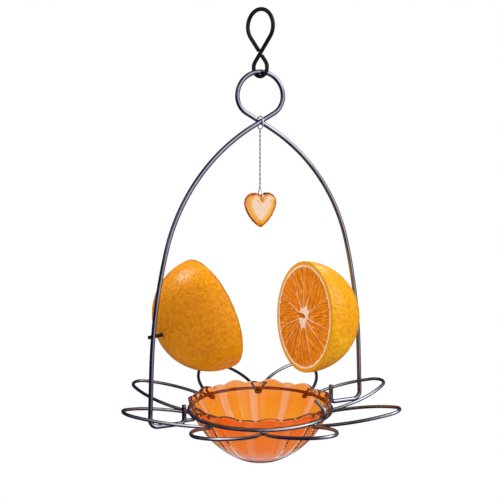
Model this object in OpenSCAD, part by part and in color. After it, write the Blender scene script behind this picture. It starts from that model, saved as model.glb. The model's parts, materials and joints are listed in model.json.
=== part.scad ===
// Oriole feeder: a wire hanger bow on a closed S hook carries a ring with a fluted glass cup,
// eight petal perches, two spikes with orange halves, and a crystal heart on a twisted wire.
// Millimetres, +Z up, front towards -Y. The origin is the inside top of the hook's upper eye.

/* [Hook] */
// Thickness of the hook's wire
hook_wire = 2.6; // [2:0.1:3.2]
// Radius of the upper eye, at the middle of the wire
hook_top_r = 10.7; // [9:0.1:12]
// Radius of the lower eye, at the middle of the wire
hook_low_r = 5.7; // [5.2:0.1:6.5]
// Distance between the centres of the two eyes
hook_span = 25.8; // [24:0.2:32]
// Turn of the hook about the vertical, from the plane of the bow
hook_turn = -66; // [-80:1:-50]
// Gap between each free end and the wire that it closes on
hook_gap = 0.5; // [0.3:0.1:1.5]

/* [Hanger bow] */
// Thickness of the bow's wire
bow_wire = 3; // [2.6:0.1:3.4]
// Radius of the hanging loop, at the middle of the wire
loop_r = 15.4; // [13:0.2:18]
// Bend radius where each side of the loop turns into the neck
neck_bend_r = 12.5; // [10:0.5:14]
// Slope of the wires at the crossing, from the vertical
neck_slope = 60.5; // [56:0.5:62]
// Gap between the two wires where they cross
crossing_gap = 0.2; // [0.1:0.05:0.5]
// Straight run from the crossing to the start of the arch
arch_start = 7; // [4:0.5:12]
// Slope from the vertical where the upper arch meets the lower one
arch_mid_slope = 14; // [12:0.5:16]
// Radius of the lower arch
arch_low_r = 375; // [350:5:400]
// Lean of the straight leg, from the vertical
leg_lean = 2.3; // [1.5:0.1:3]
// Half of the width between the two feet, at the middle of the wire
bow_half_w = 77.5; // [75:0.5:80]
// Distance from the top of the loop down to the middle of the cup ring
bow_h = 223; // [210:1:235]
// Bend radius at the outer corner of each foot
foot_bend_r = 5; // [3.5:0.5:8]
// Drop of the feet below the middle of the cup ring
foot_drop = 3; // [2.6:0.2:5]
// Bend radius where a foot turns up into its post
post_bend_r = 3; // [2.2:0.1:3.4]
// Height of the posts above the middle of the cup ring
post_h = 9; // [5:0.2:12]
// Gap between the cup ring and each post, bridged by a lug
post_gap = 4.2; // [3:0.2:6]

/* [Cup ring and perches] */
// Radius of the cup ring, at the middle of the wire
ring_r = 47.6; // [46:0.2:50]
// Thickness of the ring's wire
ring_wire = 2.4; // [2:0.1:2.8]
// Drop of the middle of the two lugs below the middle of the ring
lug_drop = 1.4; // [0.8:0.1:1.8]
// Direction of the cup's retaining finger, from the front towards the right
finger_at = 31.5; // [15:0.5:36]
// Outward lean of the finger's leg, from the vertical
finger_lean = 28; // [22:1:34]
// Length of the finger's leg, from the middle of the ring to the bend
finger_leg = 3.8; // [3.4:0.1:5]
// Bend radius of the finger
finger_bend_r = 3.5; // [2.6:0.1:4.5]
// Angle by which the finger bends inwards over the glass
finger_bend = 82; // [74:1:90]
// Length of the finger's arm, from the bend to its cut end
finger_arm = 7.2; // [5:0.2:9]
// Number of petal perches
petals = 8; // [8:1:8]
// Thickness of the petals' wire
petal_wire = 2.2; // [1.8:0.1:2.5]
// Width over the tips of two opposite petals
flower_w = 190.5; // [184:0.5:200]
// Radius of a petal's tip, at the middle of the wire
petal_tip_r = 10.2; // [8:0.2:12]
// Angle at which a petal's sides spread as they leave the ring
petal_spread = 14; // [11:0.5:17]
// Rise of the petals, from the horizontal
petal_rise = 12.5; // [8:0.5:18]
// Bend radius of the hairpin between two petals, under the ring
hairpin_r = 1.4; // [1.3:0.1:1.6]
// Gap left between wires that are welded side by side
weld_gap = 0.12; // [0.1:0.02:0.3]

/* [Spikes] */
// Thickness of a spike
spike_wire = 2.4; // [2:0.1:2.8]
// Length of a spike
spike_l = 38; // [32:1:42]
// Length of the sharpened point
spike_point = 6; // [3:0.5:10]
// Height of the spikes' roots above the cup ring
spike_z = 54.5; // [50:0.5:60]
// Rise of the spikes, from the horizontal
spike_rise = 6; // [2:0.5:10]
// Length of a spike that stands out past the leg
spike_nub = 2; // [1:0.2:4]

/* [Glass cup] */
// Depth of the cup below the middle of the ring
cup_depth = 33.1; // [28:0.5:38]
// Radius of the cup's flat base
cup_base_r = 15; // [12:0.5:18]
// Lean of the cup's wall where the ring holds it, from the vertical
cup_lean = 21; // [16:1:24]
// Thickness of the wall
cup_wall = 2.8; // [2.2:0.1:3.4]
// Thickness of the base
cup_base_t = 4.5; // [3.5:0.5:6]
// Gap between the cup's wall and the ring
seat_gap = 0.3; // [0.25:0.05:0.5]
// Number of wide scallops, with a narrow one after each
scallops = 11; // [8:1:12]
// Share of each pair of scallops that the wide one takes
wide_share = 0.625; // [0.55:0.025:0.7]
// Height of the rim above the ring, between the scallops
rim_low = 5; // [4:0.2:6.5]
// Extra height at the middle of a wide scallop
wide_h = 2.2; // [1:0.1:3]
// Extra height at the middle of a narrow scallop
narrow_h = 0.9; // [0.4:0.1:1.5]
// Outward swell of the scallops at the rim
scallop_out = 0.9; // [0.5:0.1:1.2]
// Depth of the flutes on the inside of the wall
flute_depth = 0.7; // [0.3:0.1:1]
// Direction of the middle of a wide scallop, from the front towards the right
scallop_at = -17.5; // [-18:0.5:18]

/* [Pendant] */
// Thickness of each strand of the pendant's wire
strand = 0.8; // [0.6:0.05:1]
// Length of one full twist of the two strands
twist_pitch = 5.6; // [4:0.2:8]
// Distance from the crossing of the bow down to the wire in the heart's hole
pendant_l = 50; // [40:1:60]
// Width over the two lobes of the heart
heart_w = 22.4; // [20:0.2:26]
// Height of the heart
heart_h = 22.6; // [20:0.2:26]
// Thickness of the heart between its two flat tables
heart_t = 8; // [6:0.5:10]
// Thickness of the heart's edge
heart_edge = 1.4; // [1:0.1:2.5]
// Radius of the hole in the heart
heart_hole_r = 1.3; // [1.2:0.05:1.5]
// Distance from the top of the lobes to the middle of the hole
heart_hole_down = 4.6; // [4.2:0.1:5.5]

/* [Orange halves] */
// Radius of an orange
orange_r = 37.8; // [34:0.2:37.8]
// Distance from the cut face of the left half to its far end
left_depth = 37.3; // [34:0.1:37.6]
// Distance from the cut face of the right half to its far end
right_depth = 38.2; // [36:0.2:38.2]
// Middle of the left cut face: distance in from the leg, distance back, and height above the ring
left_face = [40.8, 9.2, 65];
// Middle of the right cut face: distance in from the leg, distance back, and height above the ring
right_face = [40.2, 4.3, 58.3];
// Turn of the left cut face about the vertical, from facing the axis
left_turn = 8; // [4:0.5:12]
// Upward tilt of the left cut face
left_tilt = 16.8; // [12:0.2:20]
// Turn of the right cut face about the vertical, from facing the axis
right_turn = 2.7; // [0:0.1:6]
// Upward tilt of the right cut face
right_tilt = 4.3; // [0:0.1:8]
// Number of segments in an orange
segments = 11; // [9:1:12]
// Thickness of the peel and pith
peel_t = 4; // [3:0.2:6]
// Thickness of the skin between two segments
membrane_t = 0.9; // [0.5:0.1:1.5]
// Depth to which the juicy flesh has sunk below the pith
flesh_sink = 0.5; // [0.3:0.1:1]
// Radius of the white core
core_r = 4; // [3:0.2:6]
// Gap around a spike in the flesh that it pierces
pierce_gap = 0.2; // [0.15:0.05:0.5]

/* [Hidden] */
PETAL_NODES = ["perch_petal_1", "perch_petal_2", "perch_petal_3", "perch_petal_4",
    "perch_petal_5", "perch_petal_6", "perch_petal_7", "perch_petal_8"];
$fn = 48;

// Where two lengths of a wire meet: a small collar covers the joint, inside the wire's outline
// but for a hair's breadth.
collar_l = 0.36;
collar_over = 0.025;
joint_slack = 0.08;
degrees = 180 / PI;

// Hook: the straight part leans so that it touches both eyes from opposite sides.
hook_slope = asin((hook_top_r + hook_low_r) / hook_span);
hook_top_z = hook_wire / 2 - hook_top_r;
hook_low_z = hook_top_z - hook_span;
hook_cross_z = hook_top_z - hook_top_r / sin(hook_slope);
hook_short = (hook_wire / 2 * (1 + cos(2 * hook_slope)) + hook_gap) / sin(2 * hook_slope);

// Bow: the loop hangs in the lower eye, and everything below is set out from the loop.
link_gap = 0.15;
strand_y = (bow_wire + crossing_gap) / 2;
loop_top_z = hook_low_z - hook_low_r + hook_wire / 2 + link_gap + bow_wire / 2;
loop_z = loop_top_z - loop_r;
loop_side = sqrt(loop_r * loop_r - strand_y * strand_y);
ring_z = loop_top_z + bow_wire / 2 - bow_h;
neck_in = loop_side - neck_bend_r * (1 - cos(neck_slope));
cross_z = loop_z - neck_bend_r * sin(neck_slope) - neck_in / tan(neck_slope);
arch_drop = cross_z - (ring_z - foot_drop);
arch_low_x = arch_low_r * (cos(leg_lean) - cos(arch_mid_slope));
arch_low_h = arch_low_r * (sin(arch_mid_slope) - sin(leg_lean));
upper_x = cos(arch_mid_slope) - cos(neck_slope);
upper_h = sin(neck_slope) - sin(arch_mid_slope);
rest_x = bow_half_w - arch_start * sin(neck_slope) - arch_low_x;
rest_h = arch_drop - arch_start * cos(neck_slope) - arch_low_h;
arch_top_r = (rest_x - rest_h * tan(leg_lean)) / (upper_x - upper_h * tan(leg_lean));
leg_l = (rest_h - arch_top_r * upper_h) / cos(leg_lean);
foot_trim = foot_bend_r * tan((90 + leg_lean) / 2);
post_x = ring_r + ring_wire / 2 + post_gap + bow_wire / 2;
foot_l = bow_half_w - foot_trim - post_x - post_bend_r;
lug_l = post_x - bow_wire / 2 - weld_gap - ring_r;

// Distance of a leg from the middle of the bow, at a height above the cup ring
function leg_at(z) = let (a = asin(sin(leg_lean)
    + max(0, (z + foot_drop - leg_l * cos(leg_lean)) / arch_low_r)))
    bow_half_w - leg_l * sin(leg_lean) - arch_low_r * (cos(leg_lean) - cos(a));

// Perches: each petal is flat, hinged up from a line under the ring. Its wire arrives at the ring
// aimed a little at the next petal (cusp_in), and half of a hairpin leads across to that petal.
petal_step = 360 / petals;
half_step = petal_step / 2;
cusp_in = asin(cos(petal_spread) * cos(petal_rise) * sin(half_step)
    - sin(petal_spread) * cos(half_step));
cusp_twist = atan2(sin(half_step) * sin(petal_rise),
    sin(half_step) * cos(petal_rise) * sin(petal_spread) + cos(half_step) * cos(petal_spread));
petal_end_off = hairpin_r * cos(cusp_in) + weld_gap / 2;
petal_u = ring_r * cos(half_step) + petal_end_off * sin(half_step);
petal_v = ring_r * sin(half_step) - petal_end_off * cos(half_step);
petal_s = ((flower_w - petal_wire) / 2 - petal_u) / cos(petal_rise) - petal_tip_r;
petal_side_r = (petal_s * petal_s + petal_v * petal_v - petal_tip_r * petal_tip_r)
    / (2 * (petal_s * sin(petal_spread) + petal_v * cos(petal_spread) - petal_tip_r));
petal_c = [petal_side_r * sin(petal_spread), petal_v - petal_side_r * cos(petal_spread)];
petal_turn = atan2(-petal_c[1], petal_s - petal_c[0]);
petal_z = ring_z - ((ring_wire + petal_wire) / 2 + weld_gap) / cos(petal_rise);

// Spikes: each is welded to the back of its leg.
spike_back = bow_wire / 2 + spike_wire / 2 + weld_gap;

// Cup: the wall is one arc from the base to the ring, where it leans by cup_lean.
cup_seat_r = ring_r - (ring_wire / 2 + seat_gap) / cos(cup_lean);
wall_dr = cup_seat_r - cup_base_r;
wall_r = (wall_dr * wall_dr + cup_depth * cup_depth)
    / (2 * (wall_dr * cos(cup_lean) - cup_depth * sin(cup_lean)));
wall_c = [cup_seat_r - wall_r * cos(cup_lean), wall_r * sin(cup_lean)];
around = 12 * scallops;

// Pendant: the upper eye hangs round the crossing, and the lower one passes through the heart.
eye_low = 1;
eye_r = norm([strand_y + bow_wire / 2 * 0.71, eye_low + bow_wire / 2 / sin(neck_slope) * 0.71])
    + 0.4 + strand / 2;
eye_z = cross_z - eye_low;
hole_z = cross_z - pendant_l;
heart_play = heart_hole_r - strand / 2 - 0.15;
low_eye_half = heart_t / 2 - 0.1;
low_eye_bend = 1.2;
low_eye_h = 7.4;
twist_r = strand / 2 + 0.02;

// A short collar, a hair thicker than the wire, that covers the meeting of two lengths of it
module joint(d) {
    translate([0, 0, -collar_l / 2]) cylinder(h = collar_l, d = d + 2 * collar_over);
}

// One bend of a wire that arrives along +Z: it turns towards +X about a centre at [radius, 0, 0].
module wire_bend(d, radius, bend) {
    translate([radius, 0, 0]) rotate([90, 0, 0]) rotate([0, 0, 180 - bend])
        rotate_extrude(angle = bend - joint_slack / radius * degrees, $fn = radius > 20 ? 180 : 48)
            translate([radius, 0]) circle(d = d);
}

// A wire bent as a bender would do it. Each move is [straight run, bend radius, bend angle,
// turn about the wire before the bend]; a negative angle bends the other way.
module bent_wire(d, moves, i = 0) {
    if (i < len(moves)) {
        run = moves[i][0];
        radius = moves[i][1];
        bend = abs(moves[i][2]);
        side = moves[i][2] < 0 ? 180 : 0;
        if (i > 0) joint(d);
        if (run > 0) translate([0, 0, joint_slack])
            cylinder(h = run - 2 * joint_slack * sign(bend), d = d);
        translate([0, 0, run]) rotate([0, 0, moves[i][3] + side]) {
            if (bend > 0 && run > 0) joint(d);
            if (bend > 0) wire_bend(d, radius, bend);
            translate([radius * (1 - cos(bend)), 0, radius * sin(bend)]) rotate([0, bend, 0])
                rotate([0, 0, -side]) bent_wire(d, moves, i + 1);
        }
    }
}

// A flat arc of wire about the origin, from one angle to another, with a collar on each end
module flat_arc(d, radius, from, to, ends = [1, 1]) {
    slack = joint_slack / radius * degrees;
    rotate([0, 0, from + slack])
        rotate_extrude(angle = to - from - 2 * slack, $fn = radius > 20 ? 180 : 72)
            translate([radius, 0]) circle(d = d);
    for (k = [0, 1]) if (ends[k] == 1) rotate([0, 0, k == 0 ? from : to]) translate([radius, 0, 0])
        rotate([90, 0, 0]) joint(d);
}

module s_hook() {
    color("#1d1c20") rotate([0, 0, hook_turn])
        translate([-hook_short * sin(hook_slope), 0, hook_cross_z + hook_short * cos(hook_slope)])
            rotate([0, -hook_slope, 0])
                bent_wire(hook_wire, [
                    [hook_top_r / tan(hook_slope) - hook_short, hook_top_r, 180 + 2 * hook_slope, 0],
                    [hook_span * cos(hook_slope), hook_low_r, -180 - 2 * hook_slope, 0],
                    [hook_low_r / tan(hook_slope) - hook_short, 0, 0, 0]]);
}

// One side of the bow, from the side of the loop through the crossing and the arch to the post.
module bow_side() {
    translate([-loop_side, strand_y, loop_z]) rotate([180, 0, 0])
        bent_wire(bow_wire, [
            [0, neck_bend_r, neck_slope, 0],
            [neck_in / sin(neck_slope) + arch_start, arch_top_r, arch_mid_slope - neck_slope, 0],
            [0, arch_low_r, leg_lean - arch_mid_slope, 0],
            [leg_l - foot_trim, foot_bend_r, -90 - leg_lean, 0],
            [foot_l, post_bend_r, -90, 0],
            [foot_drop - post_bend_r + post_h, 0, 0, 0]]);
}

module hanger_bow() {
    color("#2c2b33") {
        bow_side();
        rotate([0, 0, 180]) bow_side();
        translate([0, 0, loop_z]) rotate([90, 0, -atan2(strand_y, loop_side)])
            flat_arc(bow_wire, loop_r, 0, 180);
    }
}

// A spike points inwards: side is 1 on the right and -1 on the left.
module spike(side, d = spike_wire, extra = 0) {
    translate([side * (leg_at(spike_z) + bow_wire / 2 + spike_nub), side * strand_y + spike_back,
        ring_z + spike_z]) rotate([0, side * (spike_rise - 90), 0]) {
            cylinder(h = spike_l - spike_point, d = d);
            translate([0, 0, spike_l - spike_point])
                cylinder(h = spike_point + extra, d1 = d, d2 = 0.3 * d);
        }
}

module spike_right() {
    color("#1d1c20") spike(1);
}

module spike_left() {
    color("#1d1c20") spike(-1);
}

// The ring, a lug to each post of the bow, and the finger that is bent over the rim of the glass
module cup_ring() {
    color("#4a4c52") translate([0, 0, ring_z]) {
        rotate_extrude() translate([ring_r, 0]) circle(d = ring_wire);
        for (turn = [0, 180]) rotate([0, 0, turn]) translate([ring_r, strand_y, -lug_drop])
            rotate([0, 90, 0]) cylinder(h = lug_l, d = ring_wire);
        rotate([0, 0, finger_at - 90]) translate([ring_r, 0, 0]) rotate([0, finger_lean, 0])
            bent_wire(ring_wire, [
                [finger_leg, finger_bend_r, -finger_bend, 0],
                [finger_arm, 0, 0, 0]]);
    }
}

module petal(i) {
    color("#3a3b42") rotate([0, 0, i * petal_step - 90]) translate([petal_u, 0, petal_z])
        rotate([0, -petal_rise, 0]) {
            translate([petal_s, 0, 0]) flat_arc(petal_wire, petal_tip_r, -petal_turn, petal_turn);
            for (side = [0, 1]) mirror([0, side, 0]) {
                translate([petal_c[0], petal_c[1], 0])
                    flat_arc(petal_wire, petal_side_r, petal_turn, 90 + petal_spread, [0, 0]);
                translate([0, petal_v, 0]) rotate([0, 0, petal_spread]) rotate([0, -90, 0])
                    rotate([0, 0, 90 - cusp_twist]) {
                        joint(petal_wire);
                        wire_bend(petal_wire, hairpin_r, 90 - cusp_in);
                    }
            }
        }
}

// Radius of the outside of the wall at a height above the ring, without the scallops
function wall_at(z, inset = 0) = wall_c[0] + sqrt(pow(wall_r - inset, 2) - pow(wall_c[1] - z, 2));
function smooth(t) = let (u = min(1, max(0, t))) u * u * (3 - 2 * u);
// How far into its scallop a direction lies, as an arch from 0 through 1 to 0
function scallop_pair(a) = let (t = a * scallops / 360 + wide_share / 2) t - floor(t);
function arch(a) = let (t = scallop_pair(a))
    t < wide_share ? sin(180 * t / wide_share) : sin(180 * (t - wide_share) / (1 - wide_share));
function is_wide(a) = scallop_pair(a) < wide_share;
function rim_at(a) = rim_low + (is_wide(a) ? wide_h : narrow_h) * arch(a);
function swell_at(a) = scallop_out * (is_wide(a) ? 1 : 0.6) * arch(a);

// Stations of the cup's section, each as [inside or outside, share of the way up]
outer_steps = [0, 0.1, 0.22, 0.36, 0.5, 0.64, 0.78, 0.9, 1];
rim_outer = [0.3, 0.62, 0.88];
function outside(a) = [
    for (s = outer_steps) let (z = -cup_depth * (1 - s)) [s == 0 ? cup_base_r - 0.8 : wall_at(z), z],
    for (t = rim_outer) let (z = t * rim_at(a))
        [cup_seat_r + z * tan(cup_lean) * 0.6 + swell_at(a) * smooth((z - 1.2) / 3.2), z]];
function inside(a) = [
    for (t = [0.95, 0.62, 0.3]) let (z = t * rim_at(a))
        [cup_seat_r - cup_wall + z * tan(cup_lean) * 0.6
            + swell_at(a) * smooth((z - 1.2) / 3.2) - flute_depth * (1 - arch(a)) * 0.5, z],
    for (s = [1, 0.86, 0.72, 0.58, 0.44, 0.3, 0.16, 0.04])
        let (z = (cup_base_t - cup_depth) * (1 - s))
        [wall_at(z - 0.6 * cup_wall, 0) - cup_wall
            - flute_depth * smooth(s * 1.6) * (1 - arch(a)) - (s < 0.1 ? 3 : 0), z]];
function rim_top(a) = let (o = outside(a), i = inside(a), top = rim_at(a))
    [[(2 * o[len(o) - 1][0] + i[0][0]) / 3, top], [(o[len(o) - 1][0] + 2 * i[0][0]) / 3, top]];
function section(a) = concat(outside(a), rim_top(a), inside(a));

module glass_cup() {
    rows = len(section(0));
    pts = [for (k = [0 : around - 1]) let (a = 360 * k / around) for (p = section(a))
        [p[0] * cos(a), p[0] * sin(a), p[1]]];
    low = len(pts);
    ends = [[0, 0, -cup_depth], [0, 0, cup_base_t - cup_depth]];
    faces = [for (k = [0 : around - 1]) let (b = k * rows, c = (k + 1) % around * rows) each concat(
        [for (j = [0 : rows - 2]) each [[b + j, b + j + 1, c + j + 1], [b + j, c + j + 1, c + j]]],
        [[low, b, c], [low + 1, c + rows - 1, b + rows - 1]])];
    color("#f2762a", 0.6) translate([0, 0, ring_z]) rotate([0, 0, scallop_at - 90])
        polyhedron(points = concat(pts, ends), faces = faces, convexity = 6);
}

// The lower eye runs straight through the heart's hole and closes above the heart's notch.
module heart_eye() {
    run = low_eye_half - low_eye_bend;
    rise = low_eye_h - low_eye_bend;
    lean = atan2(low_eye_half - twist_r, rise);
    rotate([-90, 0, 0]) joint(strand);
    for (side = [0, 180]) rotate([0, 0, side]) rotate([-90, 0, 0]) rotate([0, 0, -90])
        bent_wire(strand, [
            [run, low_eye_bend, 90 + lean, 0],
            [rise / cos(lean) - low_eye_bend * tan(lean / 2), 0, 0, 0]]);
}

module pendant_wire() {
    twist_l = eye_z - eye_r - (hole_z + low_eye_h);
    turns = round(twist_l / twist_pitch * 2) / 2;
    color("#c9c9cd") {
        translate([0, 0, eye_z]) rotate([0, 90, 0])
            rotate_extrude() translate([eye_r, 0]) circle(d = strand);
        translate([0, 0, hole_z]) heart_eye();
        translate([0, 0, hole_z + low_eye_h - 0.8])
            linear_extrude(height = twist_l + 1.1, twist = 360 * turns, slices = 10 * turns, $fn = 8)
                for (side = [-1, 1]) translate([0, side * twist_r]) circle(d = strand, $fn = 8);
    }
}

// Outline of the right half of the heart, from the notch round the lobe to just above the tip
lobe_r = 0.295 * heart_w;
lobe_x = heart_w / 2 - lobe_r;
tip_run = heart_h - lobe_r;
tip_reach = sqrt(lobe_x * lobe_x + tip_run * tip_run);
side_turn = atan2(-tip_run, -lobe_x) + acos(lobe_r / tip_reach);
notch_turn = 180 - acos(lobe_x / lobe_r);
lobe_points = 7;
heart_half = [for (i = [0 : lobe_points]) let (a = notch_turn + (side_turn - notch_turn) * i / lobe_points)
    [lobe_x + lobe_r * cos(a), -lobe_r + lobe_r * sin(a)]];
heart_side = [for (t = [0.33, 0.67]) heart_half[lobe_points] * (1 - t) + [0, -heart_h] * t
    + [0.5, -0.25] * sin(180 * t)];
heart_outline = concat(heart_half, heart_side, [[0, -heart_h]],
    [for (i = [1 : -1 : 0]) [-heart_side[i][0], heart_side[i][1]]],
    [for (i = [lobe_points : -1 : 1]) [-heart_half[i][0], heart_half[i][1]]]);

module crystal_heart() {
    n = len(heart_outline);
    mid = [0, -0.45 * heart_h];
    // Each layer is [share of the outline, distance from the middle plane].
    layers = [[0.62, -heart_t / 2], [0.86, -heart_t * 0.34], [1, -heart_edge / 2],
        [1, heart_edge / 2], [0.86, heart_t * 0.34], [0.62, heart_t / 2]];
    pts = [for (l = layers) for (p = heart_outline) let (q = mid + (p - mid) * l[0]) [q[0], l[1], q[1]]];
    sides = [for (k = [0 : len(layers) - 2]) for (i = [0 : n - 1]) let (j = (i + 1) % n)
        [k * n + i, k * n + j, (k + 1) * n + j, (k + 1) * n + i]];
    tables = [[for (i = [n - 1 : -1 : 0]) i], [for (i = [0 : n - 1]) (len(layers) - 1) * n + i]];
    color("#f6a245", 0.7) translate([0, 0, hole_z - heart_play + heart_hole_down])
        resize([heart_w, heart_t, heart_h]) difference() {
            polyhedron(points = pts, faces = concat(sides, tables), convexity = 4);
            translate([0, 0, -heart_hole_down]) rotate([90, 0, 0])
                cylinder(h = 2 * heart_t, r = heart_hole_r, center = true, $fn = 32);
        }
}

// Half an orange whose cut face lies in the plane z = 0 and looks along +Z
module cut_orange(depth) {
    centre = depth - orange_r;
    face_r = sqrt(orange_r * orange_r - centre * centre);
    flesh_r = face_r - peel_t;
    wedge = 180 / segments;
    difference() {
        translate([0, 0, -centre]) sphere(r = orange_r, $fn = 96);
        translate([0, 0, orange_r + 4]) cube(2 * orange_r + 8, center = true);
        translate([0, 0, -flesh_sink]) for (i = [0 : segments - 1]) rotate([0, 0, (2 * i + 1) * wedge])
            linear_extrude(height = 2) orange_segment(flesh_r, wedge);
    }
}

// One wedge of flesh, between the core and the pith
module orange_segment(flesh_r, wedge) {
    inner = core_r + membrane_t / 2 / sin(wedge);
    spread = wedge - asin(membrane_t / 2 / flesh_r);
    polygon(concat([[inner, 0]],
        [for (t = [-1 : 0.25 : 1]) (flesh_r - 0.8 * pow(t, 4)) * [cos(t * spread), sin(t * spread)]]));
}

// Places a half orange on one side's leg: turn and tilt aim its cut face.
module place_half(side, face, turn, tilt, depth) {
    translate([side * (leg_at(face[2]) - face[0]), face[1], ring_z + face[2]])
        rotate([0, 0, turn]) rotate([0, 90 - tilt, 0]) cut_orange(depth);
}

module orange_half_right() {
    color("#f7a21b") difference() {
        place_half(1, right_face, 180 + right_turn, right_tilt, right_depth);
        spike(1, d = spike_wire + 2 * pierce_gap, extra = 1);
    }
}

module orange_half_left() {
    color("#f7a21b") difference() {
        place_half(-1, left_face, left_turn, left_tilt, left_depth);
        spike(-1, d = spike_wire + 2 * pierce_gap, extra = 1);
    }
}

s_hook();
hanger_bow();
spike_left();
spike_right();
cup_ring();
for (i = [0 : petals - 1]) petal(i);
glass_cup();
pendant_wire();
crystal_heart();
orange_half_left();
orange_half_right();
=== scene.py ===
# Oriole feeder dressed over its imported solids. Metres, +Z up, front towards -Y.
import json
import math
import bpy
import numpy as np
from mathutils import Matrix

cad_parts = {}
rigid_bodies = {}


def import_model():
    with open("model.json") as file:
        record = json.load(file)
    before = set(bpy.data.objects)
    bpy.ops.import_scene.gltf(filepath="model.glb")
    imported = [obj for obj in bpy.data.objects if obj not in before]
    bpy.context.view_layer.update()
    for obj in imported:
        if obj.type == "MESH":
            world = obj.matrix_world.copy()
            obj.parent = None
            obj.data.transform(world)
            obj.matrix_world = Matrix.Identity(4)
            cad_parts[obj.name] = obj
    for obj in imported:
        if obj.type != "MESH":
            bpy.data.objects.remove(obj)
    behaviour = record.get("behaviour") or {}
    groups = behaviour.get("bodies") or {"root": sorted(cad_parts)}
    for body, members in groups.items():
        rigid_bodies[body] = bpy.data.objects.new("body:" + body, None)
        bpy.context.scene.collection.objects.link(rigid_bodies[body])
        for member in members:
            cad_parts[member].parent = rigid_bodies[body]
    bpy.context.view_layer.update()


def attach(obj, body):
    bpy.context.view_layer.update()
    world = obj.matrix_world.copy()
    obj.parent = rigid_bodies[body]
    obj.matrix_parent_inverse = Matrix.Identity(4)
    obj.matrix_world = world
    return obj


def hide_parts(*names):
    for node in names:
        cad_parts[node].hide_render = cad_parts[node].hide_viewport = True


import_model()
print("frame loaded")

mm = 0.001


def toRadians(angle):
    return angle * math.pi / 180


def sin(angle):
    return math.sin(toRadians(angle))


def cos(angle):
    return math.cos(toRadians(angle))


def tan(angle):
    return math.tan(toRadians(angle))


# Meshes

def unit(v):
    # each vector over its own length
    return v / np.maximum(np.linalg.norm(v, axis=-1, keepdims=True), 1e-12)


def turnX(angle):
    return np.array([[1, 0, 0], [0, cos(angle), -sin(angle)], [0, sin(angle), cos(angle)]])


def turnY(angle):
    return np.array([[cos(angle), 0, sin(angle)], [0, 1, 0], [-sin(angle), 0, cos(angle)]])


def turnZ(angle):
    return np.array([[cos(angle), -sin(angle), 0], [sin(angle), cos(angle), 0], [0, 0, 1]])


def smoothStep(low, high, x):
    # 0 below low, 1 above high, and 3t^2 - 2t^3 between them
    t = np.clip((x - low) / (high - low), 0, 1)
    return t * t * (3 - 2 * t)


def roundTurn(count):
    # equal steps round a full turn, in radians
    return np.arange(count) * 2 * math.pi / count


def gridFaces(rows, cols, closeRows, closeCols):
    # quads (i, j), (i, j+1), (i+1, j+1), (i+1, j) over the whole grid at once
    i = np.arange(rows if closeRows else rows - 1)
    j = np.arange(cols if closeCols else cols - 1)
    i, j = np.meshgrid(i, j, indexing="ij")
    down, along = (i + 1) % rows, (j + 1) % cols
    quads = np.stack([i * cols + j, i * cols + along, down * cols + along, down * cols + j], -1)
    return quads.reshape(-1, 4)


def cappedFaces(rows, cols, flip=False):
    # the quads between rings, and a cap over the first ring and over the last
    faces = gridFaces(rows, cols, False, True).tolist()
    faces.append(list(range(cols))[::-1])
    faces.append(list(range((rows - 1) * cols, rows * cols)))
    return [face[::-1] for face in faces] if flip else faces


def addPiece(name, verts, faces, body, material, smooth=True, marks=None):
    # vertices in millimetres; marks are named values at the vertices that the materials read
    mesh = bpy.data.meshes.new(name)
    mesh.from_pydata((np.asarray(verts) * mm).tolist(), [], [list(f) for f in faces])
    mesh.update()
    if smooth:
        mesh.shade_smooth()
    for key, value in (marks or {}).items():
        layer = mesh.attributes.new(key, "FLOAT", "POINT")
        layer.data.foreach_set("value", np.asarray(value, np.float32).ravel())
    piece = bpy.data.objects.new(name, mesh)
    bpy.context.scene.collection.objects.link(piece)
    piece.data.materials.append(material)
    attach(piece, body)
    return piece


def sweep(path, radius, side, closed=False, sides=20):
    # a tube: each ring is its path point plus radius times (cos a * across + sin a * above),
    # where across is square to both the wire and the side direction
    path = np.asarray(path, float)
    ahead = np.roll(path, -1, 0) - np.roll(path, 1, 0)
    if not closed:
        ahead[0], ahead[-1] = path[1] - path[0], path[-1] - path[-2]
    ahead = unit(ahead)
    across = unit(np.cross(side, ahead))
    above = np.cross(ahead, across)
    a = roundTurn(sides)
    radius = np.broadcast_to(np.asarray(radius, float).reshape(-1, 1, 1), (len(path), 1, 1))
    ring = across[:, None] * np.cos(a)[None, :, None] + above[:, None] * np.sin(a)[None, :, None]
    verts = (path[:, None] + radius * ring).reshape(-1, 3)
    if closed:
        return verts, gridFaces(len(path), sides, True, True).tolist()
    return verts, cappedFaces(len(path), sides)


# step and inset are shares of the edge
cutEnd = {"edge": 0.3, "step": 0.35, "inset": (0.55, 0.15)}


def trimEnds(path, radius, edge=cutEnd["edge"]):
    # two more rings at each end, so that a cut wire has a small round edge
    path = np.asarray(path, float)
    first, last = unit(path[1] - path[0]), unit(path[-2] - path[-1])
    shrink = np.array([1 - inset * edge / radius for inset in cutEnd["inset"]])
    steps = np.array([0, cutEnd["step"], 1])[:, None]
    out = np.concatenate([path[0] + first * edge * steps, path[1:-1],
                          (path[-1] + last * edge * steps)[::-1]])
    size = np.full(len(out), radius)
    size[:2] = radius * shrink
    size[-2:] = radius * shrink[::-1]
    return out, size


def joinParts(parts):
    # several (vertices, faces) as one
    verts, faces, count = [], [], 0
    for v, f in parts:
        verts.append(v)
        faces += [[k + count for k in face] for face in f]
        count += len(v)
    return np.concatenate(verts), faces


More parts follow.
